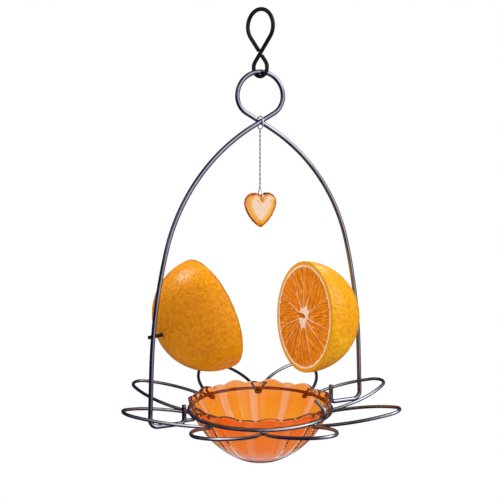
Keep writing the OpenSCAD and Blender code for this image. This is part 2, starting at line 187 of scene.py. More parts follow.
def waves(u, v, seed, stretch, count=28):
    # a smooth random surface: a sum of waves with random directions, lengths and phases, each
    # weighted by its length; stretch is (waves per millimetre along u, along v)
    chance = np.random.default_rng(seed)
    total = np.zeros_like(u)
    for _ in range(count):
        size = chance.uniform(0.35, 1.0)
        heading = chance.uniform(0, 2 * math.pi)
        total += np.sin(2 * math.pi * size * (u * stretch[0] * math.cos(heading)
                                              + v * stretch[1] * math.sin(heading))
                        + chance.uniform(0, 2 * math.pi)) / (0.5 + size)
    return total / math.sqrt(count)


def bentPath(start, turn, moves, step=1.0):
    # a wire as a bender makes it: each move is a straight run, then a bend of a radius and an
    # angle, after a turn about the wire; a negative angle bends the other way
    place, turn = np.array(start, float), np.array(turn, float)
    pieces = [place[None]]
    for run, radius, bend, twist in moves:
        if run > 0:
            t = np.linspace(0, run, max(1, round(run / step)) + 1)[1:]
            pieces.append(place + t[:, None] * turn[:, 2])
            place = place + run * turn[:, 2]
        if bend:
            side = 180 if bend < 0 else 0
            turn = turn @ turnZ(twist + side)
            arc = toRadians(abs(bend))
            t = np.linspace(0, arc, max(4, round(radius * arc / step)) + 1)[1:]
            local = np.stack([radius * (1 - np.cos(t)), 0 * t, radius * np.sin(t)], -1)
            pieces.append(place + local @ turn.T)
            moved = [radius * (1 - math.cos(arc)), 0, radius * math.sin(arc)]
            place = place + turn @ np.array(moved)
            turn = turn @ turnY(abs(bend)) @ turnZ(-side)
    return np.concatenate(pieces)


# Materials

def fill(tree, node, inputs):
    # each input gets a link or a fixed value
    for key, value in inputs.items():
        if isinstance(value, bpy.types.NodeSocket):
            tree.links.new(value, node.inputs[key])
        else:
            node.inputs[key].default_value = value


def shaderNode(tree, kind, inputs=None, **settings):
    node = tree.nodes.new(kind)
    for key, value in settings.items():
        setattr(node, key, value)
    fill(tree, node, inputs or {})
    return node


def newMaterial(name):
    material = bpy.data.materials.new(name)
    material.use_nodes = True
    tree = material.node_tree
    tree.nodes.clear()
    output = shaderNode(tree, "ShaderNodeOutputMaterial")
    shader = shaderNode(tree, "ShaderNodeBsdfPrincipled")
    tree.links.new(shader.outputs["BSDF"], output.inputs["Surface"])
    return material, tree, shader


def grey(value):
    return (value, value, value)


def ramp(tree, value, stops):
    # stops are (place, colour)
    node = shaderNode(tree, "ShaderNodeValToRGB", {"Fac": value})
    elements = node.color_ramp.elements
    while len(elements) > 1:
        elements.remove(elements[-1])
    elements[0].position, elements[0].color = stops[0][0], (*stops[0][1], 1)
    for place, colour in stops[1:]:
        elements.new(place).color = (*colour, 1)
    return node.outputs["Color"]


def blend(tree, share, below, above, kind="MIX"):
    # two colours, of which the second has the given share
    ends = [end if isinstance(end, bpy.types.NodeSocket) else (*end, 1) for end in (below, above)]
    return shaderNode(tree, "ShaderNodeMix", {0: share, 6: ends[0], 7: ends[1]},
                      data_type="RGBA", blend_type=kind).outputs[2]


def reckon(tree, kind, *values):
    # one step of arithmetic on numbers or sockets
    return shaderNode(tree, "ShaderNodeMath", dict(enumerate(values)), operation=kind).outputs[0]


def spot(tree):
    # the place on the object, in its own frame
    return shaderNode(tree, "ShaderNodeTexCoord").outputs["Object"]


def noise(tree, scale, detail):
    return shaderNode(tree, "ShaderNodeTexNoise",
                      {"Vector": spot(tree), "Scale": scale, "Detail": detail}).outputs["Fac"]


def mark(tree, name):
    # a named value at the vertices
    return shaderNode(tree, "ShaderNodeAttribute", attribute_name=name).outputs["Fac"]


wireLooks = {
    "gunmetal": {"dark": (0.18, 0.18, 0.235), "light": (0.26, 0.26, 0.33), "rough": 0.20,
                 "metal": 1.0, "coat": 0.15, "bump": 0.12, "mirror": 0.5, "speckle": 900.0,
                 "patches": 60.0},
    "paleWire": {"dark": (0.22, 0.23, 0.27), "light": (0.32, 0.34, 0.37), "rough": 0.34,
                 "metal": 1.0, "coat": 0.06, "bump": 0.12, "mirror": 0.5, "speckle": 900.0,
                 "patches": 60.0},
    "blackWire": {"dark": (0.010, 0.010, 0.012), "light": (0.02, 0.02, 0.024), "rough": 0.42,
                  "metal": 0.0, "coat": 0.0, "bump": 0.15, "mirror": 0.12, "speckle": 900.0,
                  "patches": 60.0},
    "weldMetal": {"dark": (0.14, 0.14, 0.165), "light": (0.34, 0.35, 0.35), "rough": 0.38,
                  "metal": 1.0, "coat": 0.1, "bump": 0.6, "mirror": 0.5, "speckle": 1400.0,
                  "patches": 500.0}}
wireCoating = {"smoother": 0.06, "rougher": 0.08, "bumpDepth": 0.0001, "coatRough": 0.2}
silverLook = {"dark": (0.58, 0.58, 0.60), "light": (0.82, 0.82, 0.84), "rough": (0.28, 0.42),
              "metal": 0.55, "grain": 1500.0}


def paintedWire(name, look):
    # wire in patches of two shades, with a fine speckle in its gloss and its surface
    material, tree, shader = newMaterial(name)
    speckle = noise(tree, look["speckle"], 4.0)
    patches = noise(tree, look["patches"], 2.0)
    low, high = look["rough"] - wireCoating["smoother"], look["rough"] + wireCoating["rougher"]
    bump = shaderNode(tree, "ShaderNodeBump", {"Height": speckle, "Strength": look["bump"],
                                               "Distance": wireCoating["bumpDepth"]})
    fill(tree, shader, {
        "Base Color": ramp(tree, patches, [(0.3, look["dark"]), (0.7, look["light"])]),
        "Roughness": ramp(tree, speckle, [(0.3, grey(low)), (0.75, grey(high))]),
        "Normal": bump.outputs["Normal"], "Metallic": look["metal"], "Coat Weight": look["coat"],
        "Specular IOR Level": look["mirror"], "Coat Roughness": wireCoating["coatRough"]})
    return material


def silverMetal():
    material, tree, shader = newMaterial("silverWire")
    grain = noise(tree, silverLook["grain"], 3.0)
    low, high = silverLook["rough"]
    fill(tree, shader, {
        "Base Color": ramp(tree, grain, [(0.3, silverLook["dark"]), (0.7, silverLook["light"])]),
        "Roughness": ramp(tree, grain, [(0.3, grey(low)), (0.7, grey(high))]),
        "Metallic": silverLook["metal"]})
    return material


gunmetal, paleWire, blackWire, weldMetal = [paintedWire(*item) for item in wireLooks.items()]
silverWire = silverMetal()
print("metals made")

# The driving sizes, in millimetres, as in the solids
hookSizes = {"wire": 2.6, "topR": 10.7, "lowR": 5.7, "span": 25.8, "turn": -66, "gap": 0.5}
bowSizes = {"wire": 3.0, "loopR": 15.4, "neckR": 12.5, "neckSlope": 60.5, "crossGap": 0.2,
            "archStart": 7.0, "midSlope": 14.0, "lowR": 375.0, "lean": 2.3, "halfW": 77.5,
            "height": 223.0, "footR": 5.0, "footDrop": 3.0, "postR": 3.0, "postH": 9.0,
            "postGap": 4.2}
ringSizes = {"r": 47.6, "wire": 2.4, "weld": 0.12, "linkGap": 0.15, "lugDrop": 1.4,
             "fingerAt": 31.5, "fingerLean": 28.0, "fingerLeg": 3.8, "fingerR": 3.5,
             "fingerBend": 82.0, "fingerArm": 7.2}

hookTopZ = hookSizes["wire"] / 2 - hookSizes["topR"]
hookLowZ = hookTopZ - hookSizes["span"]
loopTopZ = (hookLowZ - hookSizes["lowR"] + hookSizes["wire"] / 2 + ringSizes["linkGap"]
            + bowSizes["wire"] / 2)
loopZ = loopTopZ - bowSizes["loopR"]
ringZ = loopTopZ + bowSizes["wire"] / 2 - bowSizes["height"]
strandY = (bowSizes["wire"] + bowSizes["crossGap"]) / 2
loopSide = math.sqrt(bowSizes["loopR"] ** 2 - strandY ** 2)


# S hook: two eyes and a straight stretch that touches both from opposite sides
def makeHook():
    h = hookSizes
    slope = math.degrees(math.asin((h["topR"] + h["lowR"]) / h["span"]))
    crossing = hookTopZ - h["topR"] / sin(slope)
    short = (h["wire"] / 2 * (1 + cos(2 * slope)) + h["gap"]) / sin(2 * slope)
    moves = [(h["topR"] / tan(slope) - short, h["topR"], 180 + 2 * slope, 0),
             (h["span"] * cos(slope), h["lowR"], -180 - 2 * slope, 0),
             (h["lowR"] / tan(slope) - short, 0, 0, 0)]
    start = [-short * sin(slope), 0, crossing + short * cos(slope)]
    path = bentPath(start, turnY(-slope), moves, 0.7) @ turnZ(h["turn"]).T
    path, radius = trimEnds(path, h["wire"] / 2)
    verts, faces = sweep(path, radius, turnZ(h["turn"]) @ np.array([0, 1, 0]), sides=24)
    hook = addPiece("sHook", verts, faces, "hook", blackWire)
    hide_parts("s_hook")


makeHook()


# Hanger bow: one wire from post to post, up an arch, round the loop and down the other arch
def bowSide():
    b = bowSizes
    neckIn = loopSide - b["neckR"] * (1 - cos(b["neckSlope"]))
    crossZ = loopZ - b["neckR"] * sin(b["neckSlope"]) - neckIn / tan(b["neckSlope"])
    drop = crossZ - (ringZ - b["footDrop"])
    lowX = b["lowR"] * (cos(b["lean"]) - cos(b["midSlope"]))
    lowH = b["lowR"] * (sin(b["midSlope"]) - sin(b["lean"]))
    topX = cos(b["midSlope"]) - cos(b["neckSlope"])
    topH = sin(b["neckSlope"]) - sin(b["midSlope"])
    restX = b["halfW"] - b["archStart"] * sin(b["neckSlope"]) - lowX
    restH = drop - b["archStart"] * cos(b["neckSlope"]) - lowH
    topR = (restX - restH * tan(b["lean"])) / (topX - topH * tan(b["lean"]))
    leg = (restH - topR * topH) / cos(b["lean"])
    trim = b["footR"] * tan((90 + b["lean"]) / 2)
    postX = ringSizes["r"] + ringSizes["wire"] / 2 + b["postGap"] + b["wire"] / 2
    foot = b["halfW"] - trim - postX - b["postR"]
    neckRun = neckIn / sin(b["neckSlope"]) + b["archStart"]
    moves = [(0, b["neckR"], b["neckSlope"], 0),
             (neckRun, topR, b["midSlope"] - b["neckSlope"], 0),
             (0, b["lowR"], b["lean"] - b["midSlope"], 0),
             (leg - trim, b["footR"], -90 - b["lean"], 0),
             (foot, b["postR"], -90, 0),
             (b["footDrop"] - b["postR"] + b["postH"], 0, 0, 0)]
    return bentPath([-loopSide, strandY, loopZ], turnX(180), moves), crossZ, leg, postX


rightSide, crossZ, legRun, postX = bowSide()


def legAt(z):
    # distance of a leg from the middle of the bow at a height above the ring: past the straight
    # leg, the sine of the arch's lean grows by the climbed height over its radius
    b = bowSizes
    climbed = max(0, z + b["footDrop"] - legRun * cos(b["lean"]))
    turned = math.asin(sin(b["lean"]) + climbed / b["lowR"])
    return b["halfW"] - legRun * sin(b["lean"]) - b["lowR"] * (cos(b["lean"]) - math.cos(turned))


def makeBow():
    b = bowSizes
    t = np.linspace(math.pi, 0, 60)[1:-1]
    plane = turnZ(-math.degrees(math.atan2(strandY, loopSide)))
    loop = np.stack([b["loopR"] * np.cos(t), 0 * t, b["loopR"] * np.sin(t)], -1) @ plane.T
    loop[:, 2] += loopZ
    path = np.concatenate([rightSide[::-1], loop, rightSide * [-1, -1, 1]])
    path, radius = trimEnds(path, b["wire"] / 2)
    verts, faces = sweep(path, radius, np.array([0, 1, 0]), sides=24)
    bow = addPiece("hangerBow", verts, faces, "frame", gunmetal)
    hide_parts("hanger_bow")


makeBow()
print("hook and bow made")


# Cup ring: the ring, a lug to each post, and the finger bent over the rim of the glass
def makeRing():
    r = ringSizes
    a = roundTurn(360)
    circle = np.stack([r["r"] * np.cos(a), r["r"] * np.sin(a), 0 * a + ringZ], -1)
    parts = [sweep(circle, r["wire"] / 2, np.array([0, 0, 1]), closed=True)]
    lugEnd = postX - bowSizes["wire"] / 2 - r["weld"]
    for side in (1, -1):
        x = side * np.linspace(r["r"], lugEnd, 12)
        path = np.stack([x, 0 * x + side * strandY, 0 * x + ringZ - r["lugDrop"]], -1)
        path, radius = trimEnds(path, r["wire"] / 2, 0.2)
        parts.append(sweep(path, radius, np.array([0, 0, 1])))
    turn = turnZ(r["fingerAt"] - 90)
    start = np.array([0, 0, ringZ]) + turn @ np.array([r["r"], 0, 0])
    moves = [(r["fingerLeg"], r["fingerR"], -r["fingerBend"], 0), (r["fingerArm"], 0, 0, 0)]
    path = bentPath(start, turn @ turnY(r["fingerLean"]), moves, 0.4)
    path, radius = trimEnds(path, r["wire"] / 2, 0.25)
    parts.append(sweep(path, radius, turn @ np.array([0, 1, 0])))
    verts, faces = joinParts(parts)
    piece = addPiece("cupRing", verts, faces, "frame", paleWire)
    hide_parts("cup_ring")


makeRing()

# Perches: one wire bent into eight petals, with a hairpin under the ring between each two
petalSizes = {"count": 8, "wire": 2.2, "width": 190.5, "tipR": 10.2, "spread": 14.0, "rise": 12.5,
              "hairpinR": 1.4}


def makePetals():
    p = petalSizes
    half = 180 / p["count"]
    # the wire arrives at the ring aimed by cuspIn at the plane midway between two petals
    cuspIn = math.degrees(math.asin(cos(p["spread"]) * cos(p["rise"]) * sin(half)
                                    - sin(p["spread"]) * cos(half)))
    endOff = p["hairpinR"] * cos(cuspIn)
    u = ringSizes["r"] * cos(half) + endOff * sin(half)
    v = ringSizes["r"] * sin(half) - endOff * cos(half)
    s = ((p["width"] - p["wire"]) / 2 - u) / cos(p["rise"]) - p["tipR"]
    sideR = ((s * s + v * v - p["tipR"] ** 2)
             / (2 * (s * sin(p["spread"]) + v * cos(p["spread"]) - p["tipR"])))
    cx, cy = sideR * sin(p["spread"]), v - sideR * cos(p["spread"])
    turn = math.degrees(math.atan2(-cy, s - cx))
    z = ringZ - ((ringSizes["wire"] + p["wire"]) / 2 + ringSizes["weld"]) / cos(p["rise"])
    # the petal laid flat: out along one side's arc, round the tip and back along the other
    a = np.radians(np.linspace(90 + p["spread"], turn, 64))
    one = np.stack([cx + sideR * np.cos(a), cy + sideR * np.sin(a)], -1)
    a = np.radians(np.linspace(turn, -turn, 56))[1:-1]
    tip = np.stack([s + p["tipR"] * np.cos(a), p["tipR"] * np.sin(a)], -1)
    flat = np.concatenate([one, tip, one[::-1] * [1, -1]])[::-1]
    path = np.stack([flat[:, 0], flat[:, 1], 0 * flat[:, 0]], -1) @ turnY(-p["rise"]).T + [u, 0, z]
    # the hairpin: an arc from the petal's end, in the plane of its wire and of the way across
    across = np.array([-sin(half), cos(half), 0])
    ahead = unit(path[-1] - path[-2])
    inward = unit(ahead - (ahead @ across) * across)
    centre = path[-1] + endOff * across - p["hairpinR"] * sin(cuspIn) * inward
    a = np.radians(np.linspace(cuspIn, 180 - cuspIn, 26))[1:-1, None]
    hairpin = centre + p["hairpinR"] * (np.sin(a) * inward - np.cos(a) * across)
    one = np.concatenate([path, hairpin])
    steps = np.arange(p["count"]) * 360 / p["count"] - 90
    wire = np.concatenate([one @ turnZ(step).T for step in steps])
    verts, faces = sweep(wire, p["wire"] / 2, np.array([0, 0, 1]), closed=True, sides=16)
    petals = addPiece("petalWire", verts, faces, "frame", paleWire)
    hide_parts(*[f"perch_petal_{i + 1}" for i in range(p["count"])])


makePetals()
print("ring and petals made")

# Spikes: a cut wire welded to the back of each leg, with a sharpened point in the orange; the
# stub past the leg loses a little of the solid's length
spikeSizes = {"wire": 2.4, "length": 38.0, "point": 6.0, "z": 54.5, "rise": 6.0, "nub": 2.0,
              "cut": 1.1, "edge": 0.3, "pointShape": (0.25, 0.5, 0.75, 0.97, 1)}


def makeSpikes():
    k = spikeSizes
    back = bowSizes["wire"] / 2 + k["wire"] / 2 + ringSizes["weld"]
    shaft = k["length"] - k["point"]
    along = np.concatenate([k["cut"] + np.array([0, 0.1, k["edge"]]),
                            np.linspace(k["cut"] + 1, shaft, 20),
                            shaft + k["point"] * np.array(k["pointShape"])])
    radius = np.interp(along, [k["cut"], k["cut"] + k["edge"], shaft, k["length"] * 0.995,
                               k["length"]],
                       k["wire"] / 2 * np.array([0.85, 1, 1, 0.3, 0.18]))
    for name, node, side in (("spikeRight", "spike_right", 1), ("spikeLeft", "spike_left", -1)):
        ahead = turnY(side * (k["rise"] - 90))[:, 2]
        start = np.array([side * (legAt(k["z"]) + bowSizes["wire"] / 2 + k["nub"]),
                          side * strandY + back, ringZ + k["z"]])
        verts, faces = sweep(start + along[:, None] * ahead, radius, np.array([0, 1, 0]), sides=18)
        piece = addPiece(name, verts, faces, "frame", blackWire)
        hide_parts(node)


makeSpikes()

# Welds: a small uneven bead at each joint of the wires, given by its three half sizes
beadSizes = {"leg": (1.15, 0.95, 1.3), "post": (0.9, 1.35, 1.25), "petal": (1.25, 1.6, 0.75),
             "finger": (1.45, 1.6, 0.8), "fingerOut": 0.3, "fingerUp": 0.9, "legTurn": 7,
             "rough": 0.09, "waves": (0.55, 0.55), "pole": 0.06, "rows": 14, "columns": 22}


def beadMesh(size, turn, place, seed):
    # an ellipsoid whose distance from its middle is 1 plus a few waves over it
    b = beadSizes
    down = np.linspace(b["pole"], math.pi - b["pole"], b["rows"])[:, None]
    a = roundTurn(b["columns"])
    shape = np.stack([np.sin(down) * np.cos(a), np.sin(down) * np.sin(a), np.cos(down) + 0 * a], -1)
    swell = 1 + b["rough"] * waves(shape[..., 0] + shape[..., 2], shape[..., 1] - shape[..., 2],
                                   seed, b["waves"], 9)
    verts = (shape * swell[..., None] * size).reshape(-1, 3) @ turn.T + place
    return verts, cappedFaces(b["rows"], b["columns"], flip=True)


def makeBeads():
    b, r, k, p = beadSizes, ringSizes, spikeSizes, petalSizes
    parts = []
    for side in (1, -1):
        place = [side * legAt(k["z"]), side * strandY + (bowSizes["wire"] + r["weld"]) / 2,
                 ringZ + k["z"]]
        parts.append(beadMesh(b["leg"], turnY(-side * b["legTurn"]), place, 11 + side))
        place = [side * (postX - bowSizes["wire"] / 2), side * strandY, ringZ - r["lugDrop"]]
        parts.append(beadMesh(b["post"], turnZ(0), place, 21 + side))
    under = ringZ - (r["wire"] + r["weld"]) / 2
    for i in range(p["count"]):
        step = turnZ((i + 0.5) * 360 / p["count"] - 90)
        place = step @ np.array([r["r"], 0, 0]) + [0, 0, under]
        parts.append(beadMesh(b["petal"], step, place, 31 + i))
    step = turnZ(r["fingerAt"] - 90)
    place = step @ np.array([r["r"] + b["fingerOut"], 0, 0]) + [0, 0, ringZ + b["fingerUp"]]
    parts.append(beadMesh(b["finger"], step, place, 51))
    verts, faces = joinParts(parts)
    addPiece("weldBeads", verts, faces, "frame", weldMetal)


makeBeads()

# Glass cup: a bowl whose wall is an arc, fluted inside, under a rim of wide and narrow scallops
cupSizes = {"depth": 33.1, "baseR": 15.0, "lean": 21.0, "wall": 2.8, "baseT": 4.5, "seatGap": 0.3,
            "scallops": 11, "wideShare": 0.625, "rimLow": 5.0, "wideH": 2.2, "narrowH": 0.9,
            "rimTop": 7.0, "out": 0.9, "narrowOut": 0.6, "swellFrom": 1.2, "swellTo": 4.4,
            "flare": 0.6, "flute": 0.7, "rimFlute": 0.5, "fluteEnd": 0.62, "wallDrop": 0.6,
            "footEdge": 0.8, "bedRise": 0.25, "bedR": 20, "at": -17.5, "columns": 528}
glassLook = {"outside": [(0.18, (1.0, 0.80, 0.86)), (0.46, (1.0, 0.58, 0.26)),
                         (0.8, (1.0, 0.54, 0.16)), (1.0, (1.0, 0.50, 0.16))],
             "inside": [(0.18, (1.0, 0.50, 0.26)), (0.44, (1.0, 0.23, 0.003)),
                        (0.85, (1.0, 0.17, 0.002)), (1.0, (1.0, 0.22, 0.02))],
             "narrow": (1.0, 0.56, 0.42), "narrowShare": 0.35,
             # the crease colour is painted shade, darker and redder, along the edges of the flutes
             "creaseShade": (0.80, 0.10, 0.02), "creaseShadeShare": 0.65,
             # the lip colour is a painted highlight along the top of the rim
             "lipHighlight": (1.0, 0.78, 0.76), "lipHighlightShare": 0.6,
             "streaks": 60.0, "streakShare": 0.2, "clear": 0.94, "rough": 0.03, "bending": 1.36}


def amberGlass():
    # tinted glass: the inside is a strong orange, the outside rose, so that only what is seen
    # through the inside is orange; the narrow flutes are paler, the lip is paler as a painted
    # highlight, and the creases are redder and darker as painted shade
    g = glassLook
    material, tree, shader = newMaterial("amberGlass")
    shift = reckon(tree, "MULTIPLY_ADD", noise(tree, g["streaks"], 4.0), g["streakShare"],
                   mark(tree, "height"))
    tint = blend(tree, mark(tree, "inner"), ramp(tree, shift, g["outside"]),
                 ramp(tree, shift, g["inside"]))
    for name in ("narrow", "creaseShade", "lipHighlight"):
        tint = blend(tree, mark(tree, name), tint, g[name])
    fill(tree, shader, {"Base Color": tint, "Transmission Weight": g["clear"],
                        "Roughness": g["rough"], "IOR": g["bending"]})
    return material


def makeCup():
    c = cupSizes
    a = roundTurn(c["columns"])
    ones = np.ones_like(a)
    seatR = ringSizes["r"] - (ringSizes["wire"] / 2 + c["seatGap"]) / cos(c["lean"])
    dr = seatR - c["baseR"]
    wallR = ((dr * dr + c["depth"] ** 2)
             / (2 * (dr * cos(c["lean"]) - c["depth"] * sin(c["lean"]))))
    wallC = (seatR - wallR * cos(c["lean"]), wallR * sin(c["lean"]))
    # where each direction lies in its pair of scallops, and its arch from 0 through 1 to 0
    pair = (a * c["scallops"] / (2 * math.pi) + c["wideShare"] / 2) % 1
    wide = pair < c["wideShare"]
    arch = np.where(wide, np.sin(math.pi * pair / c["wideShare"]),
                    np.sin(math.pi * (pair - c["wideShare"]) / (1 - c["wideShare"])))
    rim = c["rimLow"] + np.where(wide, c["wideH"], c["narrowH"]) * arch
    swell = c["out"] * np.where(wide, 1, c["narrowOut"]) * arch
    flute = c["flute"] * (1 - arch)

    def wallAt(z):
        return wallC[0] + np.sqrt(wallR ** 2 - (wallC[1] - z) ** 2)

    def flareAt(z):
        # above the seat the wall leans out less, and swells into the scallops
        return z * tan(c["lean"]) * c["flare"] + swell * smoothStep(c["swellFrom"], c["swellTo"], z)

    # rows of (radius, height): the foot, up the outside, over the rim, down the inside, the bed
    rows = [(s * (c["baseR"] - c["footEdge"]) * ones, -c["depth"] * ones)
            for s in (0.02, 0.35, 0.7, 0.94)]
    for s in np.concatenate([[0.004, 0.015], np.linspace(0.04, 1, 26)]):
        z = -c["depth"] * (1 - s)
        rows.append((wallAt(z) * ones, z * ones))
    rows += [(seatR + flareAt(t * rim), t * rim) for t in np.linspace(0.12, 0.9, 8)]
    outerR, rimRow = rows[-1][0], len(rows) + 4
    innerR = (seatR - c["wall"] + 0.95 * rim * tan(c["lean"]) * c["flare"] + swell
              - flute * c["rimFlute"])
    for t in np.linspace(0.08, 0.92, 9):
        rows.append((outerR + (innerR - outerR) * t, rim * (0.9 + 0.1 * math.sin(math.pi * t))))
    rows += [(seatR - c["wall"] + flareAt(t * rim) - flute * c["rimFlute"], t * rim)
             for t in np.linspace(0.9, 0.1, 8)]
    low = c["baseT"] - c["depth"]
    for s in np.linspace(1, 0.05, 26):
        z = low * (1 - s)
        rows.append((wallAt(z - c["wallDrop"] * c["wall"]) - c["wall"]
                     - flute * smoothStep(0, c["fluteEnd"], s), z * ones))
    edge = rows[-1][0]
    for s in (0.93, 0.8, 0.6, 0.35, 0.02):
        bed = c["bedRise"] * (edge * s / c["bedR"]) ** 2 - c["bedRise"] * (edge / c["bedR"]) ** 2
        rows.append((edge * s, low + bed))
    r = np.array([row[0] for row in rows])
    z = np.array([row[1] for row in rows])
    verts = np.stack([r * np.cos(a), r * np.sin(a), z], -1).reshape(-1, 3)
    verts = verts @ turnZ(c["at"] - 90).T + [0, 0, ringZ]
    inner = (np.arange(len(rows)) > rimRow)[:, None] * ones
    walls = inner * smoothStep(low + 1, low + 8, z)
    g = glassLook
    marks = {"height": np.clip((z + c["depth"]) / (c["depth"] + c["rimTop"]), 0, 1),
             "inner": inner,
             "narrow": walls * ~wide * smoothStep(0.3, 0.9, arch) * g["narrowShare"],
             # painted shade along the edges of the flutes
             "creaseShade": walls * smoothStep(0.20, 0.04, arch) * g["creaseShadeShare"],
             # a painted highlight along the top of the rim
             "lipHighlight": smoothStep(0.9, 1.0, z / rim) * g["lipHighlightShare"]}
    piece = addPiece("glassCup", verts, cappedFaces(len(rows), len(a)), "frame",
                     amberGlass(), marks=marks)
    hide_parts("glass_cup")


makeCup()
print("cup made")

# Pendant: a silver wire with an eye at each end and its two strands twisted together
pendantSizes = {"strand": 0.8, "pitch": 5.6, "length": 50.0, "eyeLow": 1.0, "eyePlay": 0.8,
                "diagonal": 0.71, "lowEyeH": 7.4, "lowEyeBend": 1.2, "lowEyeIn": 0.1,
                "overlapLow": 0.8, "overlapTop": 0.3, "heartT": 8.0}


def makePendant():
    p = pendantSizes
    strand, wire = p["strand"] / 2, bowSizes["wire"] / 2
    eyeR = math.hypot(strandY + wire * p["diagonal"],
                      p["eyeLow"] + wire / sin(bowSizes["neckSlope"]) * p["diagonal"])
    eyeR += p["eyePlay"]
    eyeZ = crossZ - p["eyeLow"]
    holeZ = crossZ - p["length"]
    a = roundTurn(90)
    eye = sweep(np.stack([0 * a, eyeR * np.sin(a), eyeZ + eyeR * np.cos(a)], -1), strand,
                np.array([1, 0, 0]), closed=True, sides=14)
    half = p["heartT"] / 2 - p["lowEyeIn"]
    rise = p["lowEyeH"] - p["lowEyeBend"]
    lean = math.degrees(math.atan2(half - strand, rise))
    moves = [(half - p["lowEyeBend"], p["lowEyeBend"], 90 + lean, 0),
             (rise / cos(lean) - p["lowEyeBend"] * tan(lean / 2), 0, 0, 0)]
    one = bentPath([0, 0, holeZ], turnX(-90) @ turnZ(-90), moves, 0.25)
    low = np.concatenate([(one * [-1, -1, 1])[::-1], one[1:]])
    parts = [eye, sweep(low, strand, np.array([1, 0, 0]), sides=14)]
    # each strand is a helix, half a turn from the other
    bottom, top = holeZ + p["lowEyeH"] - p["overlapLow"], eyeZ - eyeR + p["overlapTop"]
    turns = round((top - bottom) / p["pitch"] * 2) / 2
    t = np.linspace(0, 1, 420)
    for side in (0, math.pi):
        angle = 2 * math.pi * turns * t + math.pi / 2 + side
        helix = np.stack([strand * np.cos(angle), strand * np.sin(angle),
                          bottom + (top - bottom) * t], -1)
        parts.append(sweep(helix, strand, np.array([1, 0, 0.001]), sides=12))
    verts, faces = joinParts(parts)
    piece = addPiece("pendantWire", verts, faces, "pendant", silverWire)
    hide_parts("pendant_wire")
    return holeZ


holeZ = makePendant()

# Heart: a cut crystal, pierced under its notch
heartSizes = {"w": 22.4, "h": 22.6, "t": 8.0, "edge": 1.4, "holeR": 1.3, "holeDown": 4.6,
              "holePlay": 0.15, "lobe": 0.295, "lobeFrom": 140.0, "lobeFacets": 7,
              "flankAt": -14.0, "flankFacets": 4, "bevel": 1.44, "crownFrom": 1.95,
              "crown": 0.53, "tableFrom": 0.93, "rays": 288, "steps": 44}
crystalLook = {"table": [(0.35, (0.93, 0.68, 0.46)), (0.65, (0.93, 0.62, 0.50))],
               "bevel": [(0.35, (0.98, 0.56, 0.14)), (0.7, (0.95, 0.34, 0.005)),
                         (1.0, (0.78, 0.16, 0.03))],
               "cloud": 160.0, "clear": 0.96, "rough": 0.01, "bending": 1.52}


def crystal():
    # pale through the table, amber in the bevels and deeper at the very edge
    g = crystalLook
    material, tree, shader = newMaterial("amberCrystal")
    tint = blend(tree, mark(tree, "table"), ramp(tree, mark(tree, "rimward"), g["bevel"]),
                 ramp(tree, noise(tree, g["cloud"], 2.0), g["table"]))
    fill(tree, shader, {"Base Color": tint, "Transmission Weight": g["clear"],
                        "Roughness": g["rough"], "IOR": g["bending"]})
    return material


def heartPlanes():
    # the right half's facets as (normal, distance): round the lobe, then down the flank to the
    # tip, and the left half's flank; the left half is their mirror image
    g = heartSizes
    lobeR = g["lobe"] * g["w"]
    lobe, tip = np.array([g["w"] / 2 - lobeR, -lobeR]), np.array([0, -g["h"]])
    # the flank is an arc that leaves the lobe without a corner and ends in the tip
    away, reach = np.array([cos(g["flankAt"]), sin(g["flankAt"])]), lobe - tip
    more = (reach @ reach - lobeR ** 2) / 2 / (lobeR + reach @ away)
    middle = lobe - more * away
    tipTurn = math.degrees(math.atan2(*(tip - middle)[::-1]))
    turns = np.concatenate([np.linspace(g["lobeFrom"], g["flankAt"], g["lobeFacets"]),
                            np.linspace(g["flankAt"], tipTurn, g["flankFacets"] + 1)[1:]])
    normals = np.stack([np.cos(np.radians(turns)), np.sin(np.radians(turns))], -1)
    onFlank = turns < g["flankAt"] - 0.01
    right = np.where(onFlank, normals @ middle + lobeR + more, normals @ lobe + lobeR)
    return (np.concatenate([normals, normals[onFlank] * [-1, 1]]),
            np.concatenate([right, right[onFlank]]))


def makeHeart():
    g = heartSizes
    normals, reach = heartPlanes()
    hole = np.array([0, -g["holeDown"]])
    a = roundTurn(g["rays"])
    ways = np.stack([np.cos(a), np.sin(a)], -1)
    # each ray from the hole runs to the outline of the half that holds it longer
    ends = []
    for flip in (1, -1):
        facing = ways * [flip, 1] @ normals.T
        far = (reach - hole @ normals.T) / np.maximum(facing, 1e-6)
        ends.append(np.where(facing > 1e-6, far, 1e9).min(1))
    share = np.linspace(0, 1, g["steps"])[:, None]
    ray = g["holeR"] + (np.maximum(*ends) - g["holeR"]) * share
    spots = hole + ray[..., None] * ways
    deep = np.maximum(*[(reach - spots * [flip, 1] @ normals.T).min(-1) for flip in (1, -1)])
    # thickness grows with the distance from the outline: steeply, then gently, up to the table
    half = np.minimum(g["t"] / 2, np.minimum(g["edge"] / 2 + g["bevel"] * deep,
                                             g["crownFrom"] + g["crown"] * deep))
    half = np.maximum(half, g["edge"] / 2)
    sheet = np.stack([spots[..., 0], -half, spots[..., 1]], -1)
    verts = np.concatenate([sheet, (sheet * [1, -1, 1])[::-1]])
    top = holeZ - (g["holeR"] - pendantSizes["strand"] / 2 - g["holePlay"]) + g["holeDown"]
    faces = gridFaces(len(verts), len(a), True, True)[:, ::-1].tolist()
    table = smoothStep(g["tableFrom"], 1.0, half / (g["t"] / 2))
    rimward = 1 - deep / deep.max()
    heart = addPiece("crystalHeart", verts.reshape(-1, 3) + [0, 0, top], faces, "heart",
                     crystal(), smooth=False,
                     marks={"table": np.concatenate([table, table[::-1]]),
                            "rimward": np.concatenate([rimward, rimward[::-1]])})
    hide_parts("crystal_heart")


makeHeart()
print("pendant made")

